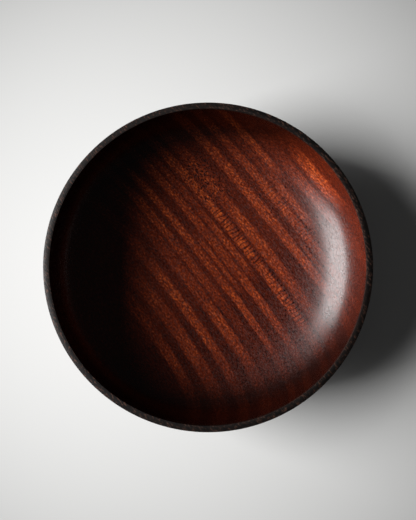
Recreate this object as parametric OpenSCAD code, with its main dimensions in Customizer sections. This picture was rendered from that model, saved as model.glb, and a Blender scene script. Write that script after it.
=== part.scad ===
// Lathe-turned wooden bowl with a dark rim ring and a dark foot ring.
// Every piece is a full turn about the Z axis, and the bowl stands on Z = 0.

/* [Bowl] */
// Outside diameter at the rim
bowl_d = 280; // [240:1:340]
// Height from the table to the crest of the rim
bowl_h = 67; // [55:1:82]
// Thickness of the floor at its centre
floor_t = 7.5; // [6.5:0.5:12]
// Flatness of the floor: 2 follows an ellipse, more keeps it level further out
floor_flatness = 2.7; // [2.3:0.05:3.2]
// Fullness of the side: 2 follows an ellipse, more stands the wall up sooner
side_fullness = 2.6; // [2.2:0.05:3]

/* [Rim ring] */
// Width of the rim seen from above, which is also the wall below it
rim_w = 5.4; // [4.4:0.1:8]
// Height of the ring's inner face
rim_inner_h = 1.6; // [1:0.1:3]
// Height of the ring's outer face
rim_outer_h = 7; // [5:0.5:10]
// Rise of the rounded crest above both edges
rim_crown = 1; // [0.5:0.1:1.6]

/* [Foot ring] */
// Outside diameter of the foot
foot_d = 120; // [96:1:136]
// Width of the foot's standing face, with its two bevels
foot_w = 9; // [6:0.5:11]
// Clear height under the middle of the bowl
foot_clear = 3; // [2:0.1:3.9]
// Least depth that the foot is let into the underside
foot_let_in = 1.6; // [1:0.1:2]
// Bevel on the foot's two lower edges
foot_bevel = 0.8; // [0.4:0.1:1.5]

/* [Fit] */
// Thickness of the glue line in each joint
glue_line = 0.1; // [0.05:0.01:0.2]

/* [Hidden] */
$fn = 180;
curve_steps = 36;
crest_steps = 12;
bowl_r = bowl_d / 2;
inner_r = bowl_r - rim_w;
edge_z = bowl_h - rim_crown;
under_z = foot_clear;
floor_z = under_z + floor_t;
crest_r = (pow(rim_w / 2, 2) + pow(rim_crown, 2)) / (2 * rim_crown);
crest_turn = asin(rim_w / 2 / crest_r);
foot_r = foot_d / 2;
foot_inner_r = foot_r - foot_w;
seat_z = outside_height(foot_r) + foot_let_in;

// A point on a bowl curve: turn = 0 is on the axis and turn = 90 at the rim's edge
function curve_point(rim_r, low_z, turn) = [
    rim_r * pow(sin(turn), 2 / floor_flatness),
    edge_z - (edge_z - low_z) * pow(cos(turn), 2 / side_fullness)
];

// A point on the rounded crest: along runs from -1 at its inner edge to 1 at its outer edge
function crest_point(along) = [
    inner_r + rim_w / 2 + crest_r * sin(crest_turn * along),
    bowl_h - crest_r * (1 - cos(crest_turn * along))
];

// Height of the bowl's outside at a distance r from the axis
function outside_height(r) =
    edge_z - (edge_z - under_z) * pow(1 - pow(r / bowl_r, floor_flatness), 1 / side_fullness);

// Section of the whole bowl wall with its crest, from the axis to the rim
module wall_section() {
    outside = [for (i = [0 : curve_steps]) curve_point(bowl_r, under_z, 90 * i / curve_steps)];
    crest = [for (i = [crest_steps - 1 : -1 : 1]) crest_point(2 * i / crest_steps - 1)];
    inside = [for (i = [curve_steps : -1 : 0]) curve_point(inner_r, floor_z, 90 * i / curve_steps)];
    polygon(concat(outside, crest, inside));
}

// All that lies above the sloping seat of the rim ring, raised by a distance
module above_seat(raise) {
    inner_z = edge_z - rim_inner_h + raise;
    outer_z = edge_z - rim_outer_h + raise;
    top_z = bowl_h + rim_w;
    polygon([
        [inner_r - rim_w, inner_z],
        [inner_r, inner_z],
        [bowl_r, outer_z],
        [bowl_r + rim_w, outer_z],
        [bowl_r + rim_w, top_z],
        [inner_r - rim_w, top_z]
    ]);
}

// Groove in the underside that takes the foot ring and its glue
module foot_groove() {
    translate([foot_inner_r - glue_line, 0])
        square([foot_w + 2 * glue_line, seat_z]);
}

// Section of the foot ring, which stands on Z = 0
module foot_section() {
    top_z = seat_z - glue_line;
    polygon([
        [foot_inner_r + foot_bevel, 0],
        [foot_r - foot_bevel, 0],
        [foot_r, foot_bevel],
        [foot_r, top_z],
        [foot_inner_r, top_z],
        [foot_inner_r, foot_bevel]
    ]);
}

module bowl_body() {
    color("#6b2d18")
        rotate_extrude()
            difference() {
                wall_section();
                above_seat(-glue_line);
                foot_groove();
            }
}

module rim_ring() {
    color("#1d1512")
        rotate_extrude()
            intersection() {
                wall_section();
                above_seat(0);
            }
}

module foot_ring() {
    color("#1d1512")
        rotate_extrude()
            foot_section();
}

bowl_body();
rim_ring();
foot_ring();
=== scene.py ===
from math import cos, pi, radians, sin

import bpy
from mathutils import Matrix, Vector


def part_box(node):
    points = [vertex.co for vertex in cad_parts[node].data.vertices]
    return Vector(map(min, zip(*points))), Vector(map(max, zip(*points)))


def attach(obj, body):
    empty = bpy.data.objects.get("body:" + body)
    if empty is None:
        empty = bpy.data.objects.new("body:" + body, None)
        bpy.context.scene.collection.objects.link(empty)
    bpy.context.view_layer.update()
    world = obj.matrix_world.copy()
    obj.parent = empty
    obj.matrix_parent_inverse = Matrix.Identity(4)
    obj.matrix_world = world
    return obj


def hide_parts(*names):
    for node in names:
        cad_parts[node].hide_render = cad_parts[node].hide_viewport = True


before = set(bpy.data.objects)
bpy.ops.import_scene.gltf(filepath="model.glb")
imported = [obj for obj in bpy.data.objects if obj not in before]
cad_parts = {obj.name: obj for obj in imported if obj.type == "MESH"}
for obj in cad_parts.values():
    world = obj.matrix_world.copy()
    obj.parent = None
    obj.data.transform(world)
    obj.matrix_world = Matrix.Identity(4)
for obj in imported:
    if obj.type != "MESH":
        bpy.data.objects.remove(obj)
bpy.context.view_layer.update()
print("frame loaded:", sorted(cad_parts))

mm = 0.001
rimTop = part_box("rim_ring")[1]
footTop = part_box("foot_ring")[1]


bowlShape = {
    "rimRadius": rimTop.x,
    "rimWidth": 5.4 * mm,
    "crestHeight": rimTop.z,
    "crestRise": 1 * mm,
    "floorThickness": 7.5 * mm,
    "footClear": 3 * mm,
    "floorFlatness": 2.7,
    "sideFullness": 2.6,
    "glueLine": 0.1 * mm,
    "curveSteps": 72,
    "turnSteps": 256,
    "cornerRoom": 0.5 * mm,
    "mergeWithin": 0.002 * mm,
    "sharpFrom": radians(35),
}
innerRadius = bowlShape["rimRadius"] - bowlShape["rimWidth"]
edgeHeight = bowlShape["crestHeight"] - bowlShape["crestRise"]
floorHeight = bowlShape["footClear"] + bowlShape["floorThickness"]


def curvePoint(rimRadius, lowHeight, turn):
    across = rimRadius * sin(turn) ** (2 / bowlShape["floorFlatness"])
    up = edgeHeight - (edgeHeight - lowHeight) * max(cos(turn), 0) ** (2 / bowlShape["sideFullness"])
    return across, up


def bowlCurve(rimRadius, lowHeight):
    steps = bowlShape["curveSteps"]
    return [curvePoint(rimRadius, lowHeight, pi / 2 * i / steps) for i in range(steps + 1)]


def heightAt(rimRadius, lowHeight, across):
    share = (across / rimRadius) ** bowlShape["floorFlatness"]
    return edgeHeight - (edgeHeight - lowHeight) * (1 - share) ** (1 / bowlShape["sideFullness"])


def radiusAt(rimRadius, lowHeight, up):
    share = 1 - ((edgeHeight - up) / (edgeHeight - lowHeight)) ** bowlShape["sideFullness"]
    return rimRadius * share ** (1 / bowlShape["floorFlatness"])


def underAt(across):
    return heightAt(bowlShape["rimRadius"], bowlShape["footClear"], across)


def outerAt(up):
    return radiusAt(bowlShape["rimRadius"], bowlShape["footClear"], up)


def innerAt(up):
    return radiusAt(innerRadius, floorHeight, up)


def turnOnLathe(name, outline):
    # the outline is drawn point by point from one vertex, then spun a full turn
    bpy.ops.object.select_all(action="DESELECT")
    bpy.ops.mesh.primitive_plane_add(size=1 * mm, location=(outline[0][0], 0, outline[0][1]))
    piece = bpy.context.object
    piece.name = piece.data.name = name
    bpy.ops.object.transform_apply(location=True, rotation=True, scale=True)
    bpy.ops.object.mode_set(mode="EDIT")
    bpy.ops.mesh.select_all(action="SELECT")
    bpy.ops.mesh.merge(type="CENTER")
    for (fromR, fromZ), (toR, toZ) in zip(outline, outline[1:]):
        bpy.ops.mesh.extrude_region_move(
            TRANSFORM_OT_translate={"value": (toR - fromR, 0, toZ - fromZ)}
        )
    bpy.ops.mesh.select_all(action="SELECT")
    bpy.ops.mesh.spin(
        steps=bowlShape["turnSteps"], angle=2 * pi, center=(0, 0, 0), axis=(0, 0, 1)
    )
    bpy.ops.mesh.select_all(action="SELECT")
    bpy.ops.mesh.remove_doubles(threshold=bowlShape["mergeWithin"])
    bpy.ops.mesh.normals_make_consistent(inside=False)
    bpy.ops.object.mode_set(mode="OBJECT")
    bpy.ops.object.shade_smooth_by_angle(angle=bowlShape["sharpFrom"])
    return piece


rimShape = {
    "innerFace": 1.6 * mm,
    "outerFace": 7 * mm,
    "faceSteps": 10,
    "crestSteps": 18,
    "peakShare": 0.22,  # of the width, from the inner edge
    "innerDrop": 0.1 * mm,
}
seatInner = edgeHeight - rimShape["innerFace"]
seatOuter = edgeHeight - rimShape["outerFace"]


def crestCurve():
    # highest near the inner edge, easing down to the outer one
    peak = rimShape["peakShare"]
    steps = rimShape["crestSteps"]
    points = []
    for i in range(steps + 1):
        share = 1 - i / steps
        if share > peak:
            drop = bowlShape["crestRise"] * ((share - peak) / (1 - peak)) ** 2
        else:
            drop = rimShape["innerDrop"] * ((peak - share) / peak) ** 2
        points.append(
            (innerRadius + share * bowlShape["rimWidth"], bowlShape["crestHeight"] - drop)
        )
    return points


footShape = {
    "radius": footTop.x,
    "width": 9 * mm,
    "letIn": 1.6 * mm,
    "bevel": 0.8 * mm,
    "bevelSteps": 5,
}
footInner = footShape["radius"] - footShape["width"]
seatHeight = footShape["letIn"] + underAt(footShape["radius"])


def bodyOutline():
    glue = bowlShape["glueLine"]
    grooveIn = footInner - glue
    grooveOut = footShape["radius"] + glue
    outside = bowlCurve(bowlShape["rimRadius"], bowlShape["footClear"])
    inside = bowlCurve(innerRadius, floorHeight)
    # curve points too near a corner are left out
    under = [p for p in outside if p[0] < grooveIn - bowlShape["cornerRoom"]]
    side = [
        p for p in outside
        if p[0] > grooveOut + bowlShape["cornerRoom"] and p[1] < seatOuter - 2 * glue
    ]
    groove = [
        (grooveIn, underAt(grooveIn)),
        (grooveIn, seatHeight),
        (grooveOut, seatHeight),
        (grooveOut, underAt(grooveOut)),
    ]
    seat = [
        (outerAt(seatOuter - glue), seatOuter - glue),
        (innerAt(seatInner - glue), seatInner - glue),
    ]
    down = [p for p in reversed(inside) if p[1] < seatInner - 2 * glue]
    return under + groove + side + seat + down


def rimOutline():
    steps = rimShape["faceSteps"]
    heights = [seatOuter + (edgeHeight - seatOuter) * i / steps for i in range(steps)]
    outer = [(outerAt(z), z) for z in heights]
    inner = [(innerAt(z), z) for z in (edgeHeight - rimShape["innerFace"] / 2, seatInner)]
    return outer + crestCurve() + inner + outer[:1]


def footOutline():
    bevel = footShape["bevel"]
    radius = footShape["radius"]
    steps = footShape["bevelSteps"]
    turns = [pi / 2 * i / steps for i in range(steps + 1)]
    inner = [(footInner + bevel - bevel * cos(t), bevel - bevel * sin(t)) for t in turns]
    outer = [(radius - bevel + bevel * sin(t), bevel - bevel * cos(t)) for t in turns]
    top = seatHeight - bowlShape["glueLine"]
    return inner + outer + [(radius, top), (footInner, top), inner[0]]


bowlPiece = turnOnLathe("turnedBowl", bodyOutline())
rimPiece = turnOnLathe("rimBand", rimOutline())
footPiece = turnOnLathe("footRing", footOutline())
print("turned:", [(p.name, len(p.data.polygons)) for p in (bowlPiece, rimPiece, footPiece)])


def addNode(tree, kind, settings=None, inputs=None):
    node = tree.nodes.new(kind)
    for name, value in (settings or {}).items():
        setattr(node, name, value)
    for name, value in (inputs or {}).items():
        feed(tree, node.inputs[name], value)
    return node


def feed(tree, socket, value):
    if isinstance(value, bpy.types.NodeSocket):
        tree.links.new(value, socket)
    else:
        socket.default_value = value


def calc(tree, operation, first, second=0.0, third=0.0, clamp=False):
    node = addNode(tree, "ShaderNodeMath", {"operation": operation, "use_clamp": clamp})
    for socket, value in zip(node.inputs, (first, second, third)):
        feed(tree, socket, value)
    return node.outputs[0]


def calcVector(tree, operation, first, second=(0, 0, 0)):
    node = addNode(tree, "ShaderNodeVectorMath", {"operation": operation})
    feed(tree, node.inputs[0], first)
    feed(tree, node.inputs[1], second)
    return node.outputs["Value" if operation == "DOT_PRODUCT" else "Vector"]


def scaled(tree, vector, amount):
    node = addNode(tree, "ShaderNodeVectorMath", {"operation": "SCALE"})
    feed(tree, node.inputs[0], vector)
    feed(tree, node.inputs["Scale"], amount)
    return node.outputs["Vector"]


def smooth(tree, value, low, high, fromValue=0.0, toValue=1.0):
    node = addNode(tree, "ShaderNodeMapRange", {"interpolation_type": "SMOOTHSTEP"})
    for name, amount in zip(
        ("Value", "From Min", "From Max", "To Min", "To Max"),
        (value, low, high, fromValue, toValue),
    ):
        feed(tree, node.inputs[name], amount)
    return node.outputs["Result"]


def blend(tree, amount, first, second):
    # a colour mix node's A, B and Result come after those for numbers and vectors
    node = addNode(tree, "ShaderNodeMix", {"data_type": "RGBA"})
    feed(tree, node.inputs["Factor"], amount)
    feed(tree, node.inputs[6], first)
    feed(tree, node.inputs[7], second)
    return node.outputs[2]


def mixValues(tree, amount, first, second):
    node = addNode(tree, "ShaderNodeMix", {"data_type": "FLOAT"})
    for name, value in (("Factor", amount), ("A", first), ("B", second)):
        feed(tree, node.inputs[name], value)
    return node.outputs[0]


def noise(tree, vector, size, detail=2.0, roughness=0.5, offset=(0, 0, 0)):
    # size is the grain's length along, across and up, in millimetres
    shares = tuple(1 / s for s in size)
    placed = addNode(
        tree,
        "ShaderNodeMapping",
        inputs={"Vector": vector, "Scale": shares, "Location": offset},
    )
    node = addNode(
        tree,
        "ShaderNodeTexNoise",
        inputs={
            "Vector": placed.outputs[0],
            "Scale": 1.0,
            "Detail": detail,
            "Roughness": roughness,
        },
    )
    return node.outputs["Fac"]


def colour(red, green, blue):
    return (red, green, blue, 1)


def newGroup(name, inputs, outputs):
    tree = bpy.data.node_groups.new(name, "ShaderNodeTree")
    for socketName, kind, value in inputs:
        socket = tree.interface.new_socket(socketName, in_out="INPUT", socket_type=kind)
        if value is not None:
            socket.default_value = value
    for socketName, kind in outputs:
        tree.interface.new_socket(socketName, in_out="OUTPUT", socket_type=kind)
    entry = tree.nodes.new("NodeGroupInput")
    leave = tree.nodes.new("NodeGroupOutput")
    return tree, entry.outputs, leave.inputs


def useGroup(tree, group, inputs):
    node = addNode(tree, "ShaderNodeGroup", {"node_tree": group})
    for name, value in inputs.items():
        feed(tree, node.inputs[name], value)
    return node.outputs


floatSocket, vectorSocket = "NodeSocketFloat", "NodeSocketVector"


grainLine = {
    "turn": radians(52),  # from +X, towards -Y
    "lean": 0.33,  # mm across the grain for each mm of height
    "fan": 0.22,  # how much the ribbons draw together, per metre along them
}


def makeGrainSpace():
    tree, given, result = newGroup(
        "grainSpace",
        [
            ("Turn", floatSocket, grainLine["turn"]),
            ("Lean", floatSocket, grainLine["lean"]),
            ("Level", floatSocket, 0.0),
        ],
        [("Vector", vectorSocket), ("Along", floatSocket), ("Across", floatSocket)],
    )
    place = addNode(tree, "ShaderNodeTexCoord").outputs["Object"]
    inMm = scaled(tree, place, 1 / mm)
    turned = addNode(tree, "ShaderNodeVectorRotate", {"rotation_type": "Z_AXIS"})
    feed(tree, turned.inputs["Vector"], inMm)
    feed(tree, turned.inputs["Angle"], given["Turn"])
    parts = addNode(tree, "ShaderNodeSeparateXYZ", inputs={"Vector": turned.outputs[0]})
    raised = calc(tree, "SUBTRACT", parts.outputs["Z"], given["Level"])
    spread = calc(tree, "MULTIPLY_ADD", parts.outputs["X"], -grainLine["fan"] * mm, 1.0)
    fanned = calc(tree, "MULTIPLY", parts.outputs["Y"], spread)
    leaned = calc(tree, "MULTIPLY_ADD", raised, given["Lean"], fanned)
    joined = addNode(
        tree,
        "ShaderNodeCombineXYZ",
        inputs={"X": parts.outputs["X"], "Y": leaned, "Z": parts.outputs["Z"]},
    )
    feed(tree, result["Vector"], joined.outputs[0])
    feed(tree, result["Along"], parts.outputs["X"])
    feed(tree, result["Across"], leaned)
    return tree


# noise sizes are millimetres along, across and up; a pore opens above the level
poreFigure = {
    "fine": (3.6, 0.5, 0.5),
    "coarse": (4.5, 0.8, 0.8),
    "speckle": (2.3, 1.5, 1.5),
    "fibre": (60, 0.9, 0.9),
    "level": 0.66,
    "perAmount": -0.16,
    "edge": 0.07,
    "coarseRoom": 0.02,
    "coarseEdge": 0.08,
}


def makePores():
    tree, given, result = newGroup(
        "openPores",
        [("Vector", vectorSocket, None), ("Amount", floatSocket, 0.5)],
        [("Pores", floatSocket), ("Speckle", floatSocket), ("Fibre", floatSocket)],
    )
    vector = given["Vector"]
    fine = noise(tree, vector, poreFigure["fine"], 1.5, 0.6)
    coarse = noise(tree, vector, poreFigure["coarse"], 1.0, 0.5, (31, 7, 3))
    level = calc(tree, "MULTIPLY_ADD", given["Amount"], poreFigure["perAmount"], poreFigure["level"])
    fineEnd = calc(tree, "ADD", level, poreFigure["edge"])
    coarseStart = calc(tree, "ADD", level, poreFigure["coarseRoom"])
    coarseEnd = calc(tree, "ADD", level, poreFigure["coarseEdge"])
    finePores = smooth(tree, fine, level, fineEnd)
    coarsePores = smooth(tree, coarse, coarseStart, coarseEnd)
    feed(tree, result["Pores"], calc(tree, "MAXIMUM", finePores, coarsePores))
    feed(tree, result["Speckle"], noise(tree, vector, poreFigure["speckle"], 2.0, 0.65, (5, 61, 17)))
    feed(tree, result["Fibre"], noise(tree, vector, poreFigure["fibre"], 3.0, 0.6, (0, 23, 41)))
    return tree


grainSpace = makeGrainSpace()
openPores = makePores()


# the light ribbons, side by side across the grain: middle and width in millimetres,
# then how light each is near the top of the bowl, in its middle and near the bottom
ribbonFigure = {
    "ribbons": [
        (-76, 11, 0.25, 0.55, 1.0),
        (-58, 14.5, 0.3, 0.65, 1.0),
        (-40.5, 11, 0.5, 0.9, 1.0),
        (-22, 12.5, 0.5, 0.65, 1.0),
        (-10.5, 10, 0.75, 0.7, 0.5),
        (2.5, 9, 0.85, 0.75, 1.0),
        (10.5, 4.5, 0.2, 0.85, 0.3),
        (19, 9.5, 0.8, 0.75, 1.0),
        (28, 7.5, 0.6, 0.85, 0.1),
        (39, 11, 0.8, 0.65, 1.0),
        (53, 13.5, 0.6, 0.85, 0.85),
        (76, 12, 0.82, 0.8, 0.95),
        (84.5, 4.5, 0.2, 0.15, 0.75),
        (92.5, 10, 0.72, 0.65, 0.7),
        (103, 8, 0.4, 0.7, 0.2),
        (111, 8, 0.85, 0.2, 0.15),
        (123, 13, 0.35, 0.6, 0.6),
        (137, 13, 0.3, 0.9, 0.4),
    ],
    "gaps": (0.22, 0.26, 0.06),  # lightness of the dark ribbons between them
    "crown": 0.6,  # share of a ribbon's width that keeps its full lightness
    "changes": [(-48, -12), (16, 48)],  # where along the grain one gives way to the next
    "margin": 40.0,
    "wander": 0.6,  # mm that the ribbons stray sideways
    "wanderSize": (70, 22, 60),
    "ragged": 0.55,  # mm of uneven edge
    "raggedSize": (12, 1.6, 4),
    "narrowing": 1.7,  # how fast they narrow to tips where the wall rises
    "wallShare": 0.3,  # what is left of them on the wall
}
ribbonFrom = ribbonFigure["ribbons"][0][0] - ribbonFigure["margin"]
ribbonTo = ribbonFigure["ribbons"][-1][0] + ribbonFigure["margin"]


def ribbonCurve(tree, share, row):
    node = addNode(tree, "ShaderNodeFloatCurve")
    gap = ribbonFigure["gaps"][row]
    curve = node.mapping.curves[0]
    curve.points[0].location = (0, gap)
    curve.points[1].location = (1, gap)
    for middle, width, *lightness in ribbonFigure["ribbons"]:
        edge = width / 2
        crown = edge * ribbonFigure["crown"]
        light = lightness[row]
        for side, height in ((-edge, gap), (-crown, light), (crown, light), (edge, gap)):
            curve.points.new((middle + side - ribbonFrom) / (ribbonTo - ribbonFrom), height)
    node.mapping.update()
    feed(tree, node.inputs["Value"], share)
    return node.outputs[0]


def makeRibbons():
    tree, given, result = newGroup(
        "ribbonStripes",
        [
            ("Vector", vectorSocket, None),
            ("Along", floatSocket, 0.0),
            ("Across", floatSocket, 0.0),
            ("Rising", floatSocket, 0.0),
        ],
        [("Ribbon", floatSocket), ("Across", floatSocket)],
    )
    wander, ragged = ribbonFigure["wander"], ribbonFigure["ragged"]
    stray = noise(tree, given["Vector"], ribbonFigure["wanderSize"], 2.0, 0.5, (3, 1, 8))
    stray = calc(tree, "MULTIPLY_ADD", stray, 4 * wander, -2 * wander)
    edge = noise(tree, given["Vector"], ribbonFigure["raggedSize"], 2.0, 0.6, (14, 2, 5))
    edge = calc(tree, "MULTIPLY_ADD", edge, 4 * ragged, -2 * ragged)
    across = calc(tree, "ADD", calc(tree, "ADD", given["Across"], stray), edge)
    share = addNode(
        tree,
        "ShaderNodeMapRange",
        inputs={"Value": across, "From Min": ribbonFrom, "From Max": ribbonTo},
    ).outputs["Result"]
    height = ribbonCurve(tree, share, 0)
    for row, (start, end) in enumerate(ribbonFigure["changes"], 1):
        change = smooth(tree, given["Along"], start, end)
        height = mixValues(tree, change, height, ribbonCurve(tree, share, row))
    # a light ribbon narrows to a tip where the wall cuts up through its fibres
    against = calc(tree, "MINIMUM", given["Rising"], 0.0)
    shifted = calc(tree, "MULTIPLY_ADD", against, ribbonFigure["narrowing"], height)
    left = calc(tree, "MULTIPLY", height, ribbonFigure["wallShare"])
    feed(tree, result["Ribbon"], calc(tree, "MAXIMUM", shifted, left, clamp=True))
    feed(tree, result["Across"], across)
    return tree


# cross figure: millimetres across, half its width, millimetres along, half its length, strength
mottlePatches = {
    "bars": [(40.5, 6, -5, 46, 0.9), (41, 6, 66, 40, 0.55), (94, 8, 10, 48, 0.4)],
    "squiggles": [(51, 19, -66, 32, 1.0), (84, 12, -35, 50, 0.35)],
    "pins": [(42.5, 1.3, -77, 1.3, 1.0), (47.5, 1.1, -75.5, 1.5, 1.0)],
    "rungPair": 7.5,  # mm along the grain that two bars take
    "barSize": (8, 17, 17),
    "barSwing": 1.2,
    "barLift": 0.08,
    "crinkleSize": (5, 4.4, 4.4),
    "crinkleLines": 2.4,
    "lineShare": 0.8,
    "lineEdge": 0.75,
    "lineDrop": 0.75,
    "softBars": 0.6,  # share of a patch, from its middle, that keeps its full strength
    "softSquiggles": 0.5,
    "softPins": 0.4,
}


def patchMask(tree, along, across, patches, soft):
    total = None
    for middle, halfWidth, centre, halfLength, strength in patches:
        sideways = calc(tree, "ABSOLUTE", calc(tree, "SUBTRACT", across, middle))
        lengthways = calc(tree, "ABSOLUTE", calc(tree, "SUBTRACT", along, centre))
        patch = calc(
            tree,
            "MULTIPLY",
            smooth(tree, sideways, halfWidth, soft * halfWidth, 0.0, strength),
            smooth(tree, lengthways, halfLength, soft * halfLength),
        )
        total = patch if total is None else calc(tree, "MAXIMUM", total, patch)
    return total


def contourLines(tree, value, count):
    # thin dark lines where the value passes each step, like the lines of a map
    wave = calc(tree, "SINE", calc(tree, "MULTIPLY", value, 2 * pi * count))
    away = smooth(tree, calc(tree, "ABSOLUTE", wave), 0.0, mottlePatches["lineEdge"])
    return calc(tree, "SUBTRACT", away, mottlePatches["lineDrop"])


def makeMottle():
    tree, given, result = newGroup(
        "crossMottle",
        [("Vector", vectorSocket, None), ("Along", floatSocket, 0.0), ("Across", floatSocket, 0.0)],
        [("Shift", floatSocket), ("Pins", floatSocket)],
    )
    patches = mottlePatches
    barNoise = noise(tree, given["Vector"], patches["barSize"], 1.0, 0.4, (9, 4, 2))
    crinkle = noise(tree, given["Vector"], patches["crinkleSize"], 1.0, 0.5, (19, 3, 6))
    swing = calc(tree, "SUBTRACT", barNoise, 0.5)
    bars = calc(tree, "MULTIPLY_ADD", swing, patches["barSwing"], patches["barLift"])
    rungs = calc(tree, "MULTIPLY_ADD", given["Along"], 1 / patches["rungPair"], barNoise)
    bars = calc(tree, "MULTIPLY_ADD", contourLines(tree, rungs, 1.0), patches["lineShare"], bars)
    squiggles = contourLines(tree, crinkle, patches["crinkleLines"])
    squiggles = calc(tree, "MULTIPLY", squiggles, patches["lineShare"])
    place = given["Along"], given["Across"]
    barMask = patchMask(tree, *place, patches["bars"], patches["softBars"])
    squiggleMask = patchMask(tree, *place, patches["squiggles"], patches["softSquiggles"])
    bars = calc(tree, "MULTIPLY", bars, barMask)
    squiggles = calc(tree, "MULTIPLY", squiggles, squiggleMask)
    feed(tree, result["Shift"], calc(tree, "ADD", bars, squiggles))
    feed(tree, result["Pins"], patchMask(tree, *place, patches["pins"], patches["softPins"]))
    return tree


bowlFinish = {
    "deep": colour(0.021, 0.0027, 0.0013),
    "middle": colour(0.068, 0.0084, 0.0025),
    "bright": colour(0.155, 0.0205, 0.0051),
    "glow": colour(0.41, 0.072, 0.0125),
    "middleAt": 0.32,  # lightness at which the wood has its middle colour
    "brightAt": 0.64,
    "plain": 0.14,  # lightness before the figure is added
    "ribbonShare": 0.55,
    "mottleShare": 0.8,
    "fibreShare": 0.5,
    "gritDark": 0.85,  # how strongly the speckle shows in the darkest ribbon
    "gritLight": 1.3,  # and how much more in the lightest
    "poreShade": 0.38,
    "pinShade": 0.8,
    "paintedShadeTurn": radians(73),  # from +X, towards -Y: painted shade, the walls facing that way and opposite, across the light, are painted darkest
    "paintedWallShade": 2.1,  # how much darker the painted shade makes them there
    "paintedFarShade": 0.42,  # and painted shade on the side facing away from the light, which the fibres lean away from
    # least share of the wood's colour that the painted shade leaves
    "paintedShadeLeast": 0.2,
    "bounce": 0.4,  # how much of the light from one wall colours the other
    "gloss": 0.25,  # roughness of the oiled surface
    "poreRough": 0.12,
    "gritRough": 0.15,
    "specular": 0.36,
    "fibreTilt": 0.05,  # how far the fibres tip from ribbon to ribbon
    "fibreLean": 0.085,  # how far all of them lean, towards the light
    "leanTurn": radians(4),
    "gritHeight": 0.8,  # of a pore's depth
    "relief": 0.06 * mm,
    "reliefShare": 0.4,
}


def woodRamp(tree, value, stops):
    node = addNode(tree, "ShaderNodeValToRGB", inputs={"Fac": value})
    elements = node.color_ramp.elements
    while len(elements) < len(stops):
        elements.new(0.5)
    for element, (position, shade) in zip(elements, stops):
        element.position = position
        element.color = shade
    return node.outputs["Color"]


def newMaterial(name):
    material = bpy.data.materials.new(name)
    material.use_nodes = True
    tree = material.node_tree
    return material, tree, tree.nodes["Principled BSDF"].inputs


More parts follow.
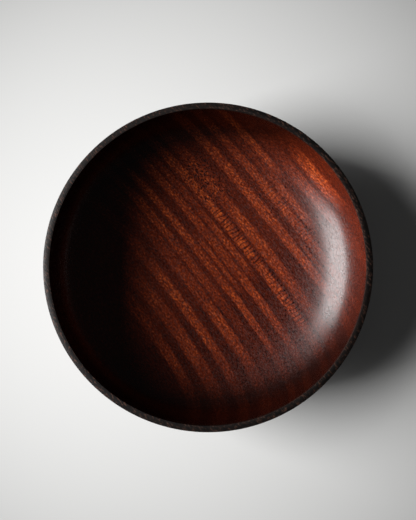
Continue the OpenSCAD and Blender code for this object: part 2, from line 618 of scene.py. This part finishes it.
def makeBowlWood():
    material, tree, surface = newMaterial("ribbonHardwood")
    space = useGroup(tree, grainSpace, {"Level": floorHeight / mm})
    facing = addNode(tree, "ShaderNodeNewGeometry").outputs["Normal"]
    lengthwise = (cos(grainLine["turn"]), -sin(grainLine["turn"]), 0)
    rising = calcVector(tree, "DOT_PRODUCT", facing, lengthwise)
    ribbons = useGroup(
        tree,
        makeRibbons(),
        {
            "Vector": space["Vector"],
            "Along": space["Along"],
            "Across": space["Across"],
            "Rising": rising,
        },
    )
    mottle = useGroup(
        tree,
        makeMottle(),
        {"Vector": space["Vector"], "Along": space["Along"], "Across": ribbons["Across"]},
    )
    pores = useGroup(tree, openPores, {"Vector": space["Vector"], "Amount": 0.5})
    finish = bowlFinish
    value = calc(tree, "MULTIPLY_ADD", ribbons["Ribbon"], finish["ribbonShare"], finish["plain"])
    value = calc(tree, "MULTIPLY_ADD", mottle["Shift"], finish["mottleShare"], value)
    fibre = calc(tree, "SUBTRACT", pores["Fibre"], 0.5)
    value = calc(tree, "MULTIPLY_ADD", fibre, finish["fibreShare"], value)
    speckle = calc(tree, "SUBTRACT", pores["Speckle"], 0.5)
    grit = calc(tree, "MULTIPLY_ADD", ribbons["Ribbon"], finish["gritLight"], finish["gritDark"])
    value = calc(tree, "MULTIPLY_ADD", speckle, grit, value, clamp=True)
    shade = woodRamp(
        tree,
        value,
        [
            (0.0, finish["deep"]),
            (finish["middleAt"], finish["middle"]),
            (finish["brightAt"], finish["bright"]),
            (1.0, finish["glow"]),
        ],
    )
    shadeShare = calc(tree, "MULTIPLY_ADD", pores["Pores"], -finish["poreShade"], 1.0)
    # painted shade: walls that face across the light get a darker base colour
    shadeLine = (cos(finish["paintedShadeTurn"]), -sin(finish["paintedShadeTurn"]), 0)
    shadeFacing = calcVector(tree, "DOT_PRODUCT", facing, shadeLine)
    paintedShadeShare = calc(tree, "MULTIPLY", shadeFacing, shadeFacing)
    paintedShadeShare = calc(tree, "MULTIPLY_ADD", paintedShadeShare, -finish["paintedWallShade"], 1.0)
    leanLine = (cos(finish["leanTurn"]), sin(finish["leanTurn"]), 0)
    # painted shade: walls facing away from the light get a darker base colour
    facingFromLight = calcVector(tree, "DOT_PRODUCT", facing, leanLine)
    paintedShadeShare = calc(tree, "MULTIPLY_ADD", facingFromLight, -finish["paintedFarShade"], paintedShadeShare)
    paintedShadeShare = calc(tree, "MAXIMUM", paintedShadeShare, finish["paintedShadeLeast"])
    shadeShare = calc(tree, "MULTIPLY", shadeShare, paintedShadeShare)
    bounced = addNode(tree, "ShaderNodeLightPath").outputs["Is Diffuse Ray"]
    held = calc(tree, "MULTIPLY_ADD", bounced, finish["bounce"] - 1, 1.0)
    shadeShare = calc(tree, "MULTIPLY", shadeShare, held)
    pinShare = calc(tree, "MULTIPLY_ADD", mottle["Pins"], -finish["pinShade"], 1.0)
    shadeShare = calc(tree, "MULTIPLY", shadeShare, pinShare)
    feed(tree, surface["Base Color"], scaled(tree, shade, shadeShare))
    rough = calc(tree, "MULTIPLY_ADD", pores["Pores"], finish["poreRough"], finish["gloss"])
    rough = calc(tree, "MULTIPLY_ADD", speckle, finish["gritRough"], rough)
    feed(tree, surface["Roughness"], rough)
    feed(tree, surface["Specular IOR Level"], finish["specular"])
    # light and dark ribbons are fibres that tip to and fro along the grain
    tilt = finish["fibreTilt"]
    tip = calc(tree, "MULTIPLY_ADD", ribbons["Ribbon"], -tilt, tilt / 2)
    tilted = calcVector(tree, "ADD", facing, scaled(tree, lengthwise, tip))
    tilted = calcVector(tree, "ADD", tilted, scaled(tree, leanLine, -finish["fibreLean"]))
    tilted = calcVector(tree, "NORMALIZE", tilted)
    gritHeight = calc(tree, "MULTIPLY", speckle, finish["gritHeight"])
    relief = calc(tree, "MULTIPLY_ADD", pores["Pores"], -1.0, gritHeight)
    bump = addNode(
        tree,
        "ShaderNodeBump",
        inputs={
            "Strength": finish["reliefShare"],
            "Distance": finish["relief"],
            "Height": relief,
            "Normal": tilted,
        },
    )
    feed(tree, surface["Normal"], bump.outputs[0])
    return material


darkFinish = {
    "deep": colour(0.003, 0.0024, 0.0022),
    "middle": colour(0.0085, 0.0058, 0.005),
    "fleck": colour(0.11, 0.052, 0.036),
    "streakSize": (28, 2.4, 2.4),
    "deepAt": 0.35,
    "middleAt": 0.7,
    "fleckSize": (3.6, 1.1, 1.1),
    "fleckFrom": 0.53,  # noise above this is a fleck
    "fleckFull": 0.72,
    "fleckShare": 0.7,
    "gloss": 0.5,
    "poreRough": 0.2,
    "specular": 0.17,
    "relief": 0.08 * mm,
    "reliefShare": 0.5,
}


def makeDarkWood(name, turn):
    material, tree, surface = newMaterial(name)
    space = useGroup(tree, grainSpace, {"Turn": turn})
    pores = useGroup(tree, openPores, {"Vector": space["Vector"], "Amount": 0.7})
    finish = darkFinish
    streak = noise(tree, space["Vector"], finish["streakSize"], 3.0, 0.6, (2, 9, 1))
    stops = [(finish["deepAt"], finish["deep"]), (finish["middleAt"], finish["middle"])]
    shade = woodRamp(tree, streak, stops)
    fleckNoise = noise(tree, space["Vector"], finish["fleckSize"], 1.5, 0.55, (8, 2, 12))
    flecks = smooth(tree, fleckNoise, finish["fleckFrom"], finish["fleckFull"])
    fleckShare = calc(tree, "MULTIPLY", flecks, finish["fleckShare"])
    feed(tree, surface["Base Color"], blend(tree, fleckShare, shade, finish["fleck"]))
    rough = calc(tree, "MULTIPLY_ADD", pores["Pores"], finish["poreRough"], finish["gloss"])
    feed(tree, surface["Roughness"], rough)
    feed(tree, surface["Specular IOR Level"], finish["specular"])
    relief = calc(tree, "MULTIPLY", pores["Pores"], -1.0)
    bump = addNode(
        tree,
        "ShaderNodeBump",
        inputs={
            "Strength": finish["reliefShare"],
            "Distance": finish["relief"],
            "Height": relief,
        },
    )
    feed(tree, surface["Normal"], bump.outputs[0])
    return material


def finishPiece(piece, material, node):
    piece.data.materials.clear()
    piece.data.materials.append(material)
    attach(piece, "root")
    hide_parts(node)


finishPiece(bowlPiece, makeBowlWood(), "bowl_body")
finishPiece(rimPiece, makeDarkWood("rimHardwood", grainLine["turn"]), "rim_ring")
finishPiece(footPiece, makeDarkWood("footHardwood", radians(20)), "foot_ring")
print("woods assigned")


table = {
    "width": 12.0,
    "colour": colour(0.80, 0.80, 0.79),
    "paintedFalloff": 3.9,  # painted light falloff: the table is painted less bright away from the bowl, per square metre
    "farShare": 0.55,  # and never below this share of its colour
    "roughness": 0.9,
    "specular": 0.1,
}
bpy.ops.object.select_all(action="DESELECT")
bpy.ops.mesh.primitive_plane_add(size=table["width"], location=(0, 0, 0))
floor = bpy.context.object
floor.name = "table"
paint, paintTree, paintSurface = newMaterial("paleTable")
tableSpot = addNode(paintTree, "ShaderNodeTexCoord").outputs["Object"]
# painted light: the table's colour darkens away from the bowl like the edge of a pool of light
spotSquared = calcVector(paintTree, "DOT_PRODUCT", tableSpot, tableSpot)
paintedFalloff = calc(paintTree, "MULTIPLY_ADD", spotSquared, -table["paintedFalloff"], 1.0)
paintedFalloff = calc(paintTree, "MAXIMUM", paintedFalloff, table["farShare"])
feed(paintTree, paintSurface["Base Color"], scaled(paintTree, table["colour"][:3], paintedFalloff))
feed(paintTree, paintSurface["Roughness"], table["roughness"])
feed(paintTree, paintSurface["Specular IOR Level"], table["specular"])
floor.data.materials.append(paint)

window = {
    "place": Vector((-2.2, 0.03, 1.04)),
    "aim": Vector((0.9, 0, 0.02)),
    "width": 1.62,
    "height": 1.6,
    "power": 172,
}
bpy.ops.object.light_add(type="AREA", location=window["place"])
lamp = bpy.context.object
lamp.name = "windowLight"
lamp.data.shape = "RECTANGLE"
lamp.data.size = window["width"]
lamp.data.size_y = window["height"]
lamp.data.energy = window["power"]
lamp.rotation_euler = (window["aim"] - window["place"]).to_track_quat("-Z", "Y").to_euler()

room = {
    "fill": 0.034,  # strength at which it lights the bowl
    "seen": 0.55,  # and at which the camera sees it
    "colour": colour(1, 1, 1),
}
world = bpy.context.scene.world or bpy.data.worlds.new("room")
bpy.context.scene.world = world
world.use_nodes = True
roomTree = world.node_tree
backdrop = roomTree.nodes["Background"].inputs
seen = addNode(roomTree, "ShaderNodeLightPath").outputs["Is Camera Ray"]
brightness = calc(roomTree, "MULTIPLY_ADD", seen, room["seen"] - room["fill"], room["fill"])
feed(roomTree, backdrop["Strength"], brightness)
feed(roomTree, backdrop["Color"], room["colour"])

view = {
    "distance": 0.46,  # from the rim's level
    "tilt": radians(3),  # towards the front
    "bowlShare": 0.6362,  # of the picture's height that the bowl's width fills
    "shiftRight": -0.0003,  # of the bowl's width that the centre sits off the picture's middle
    "shiftUp": 0.0143,
    "sensor": 36.0,
    "nearest": 0.01,
}
bowlWidth = 2 * bowlShape["rimRadius"]
away = Vector((0, -sin(view["tilt"]), cos(view["tilt"])))
upward = Vector((0, cos(view["tilt"]), sin(view["tilt"])))
target = Vector((view["shiftRight"] * bowlWidth, 0, bowlShape["crestHeight"]))
target += upward * view["shiftUp"] * bowlWidth
bpy.ops.object.camera_add(location=target + away * view["distance"])
camera = bpy.context.object
camera.rotation_euler = (-away).to_track_quat("-Z", "Y").to_euler()
camera.data.sensor_width = view["sensor"]
camera.data.lens = view["bowlShare"] * view["distance"] / bowlWidth * view["sensor"]
camera.data.clip_start = view["nearest"]
bpy.context.scene.camera = camera
bpy.context.scene.view_settings.view_transform = "Standard"
print("light and camera set")
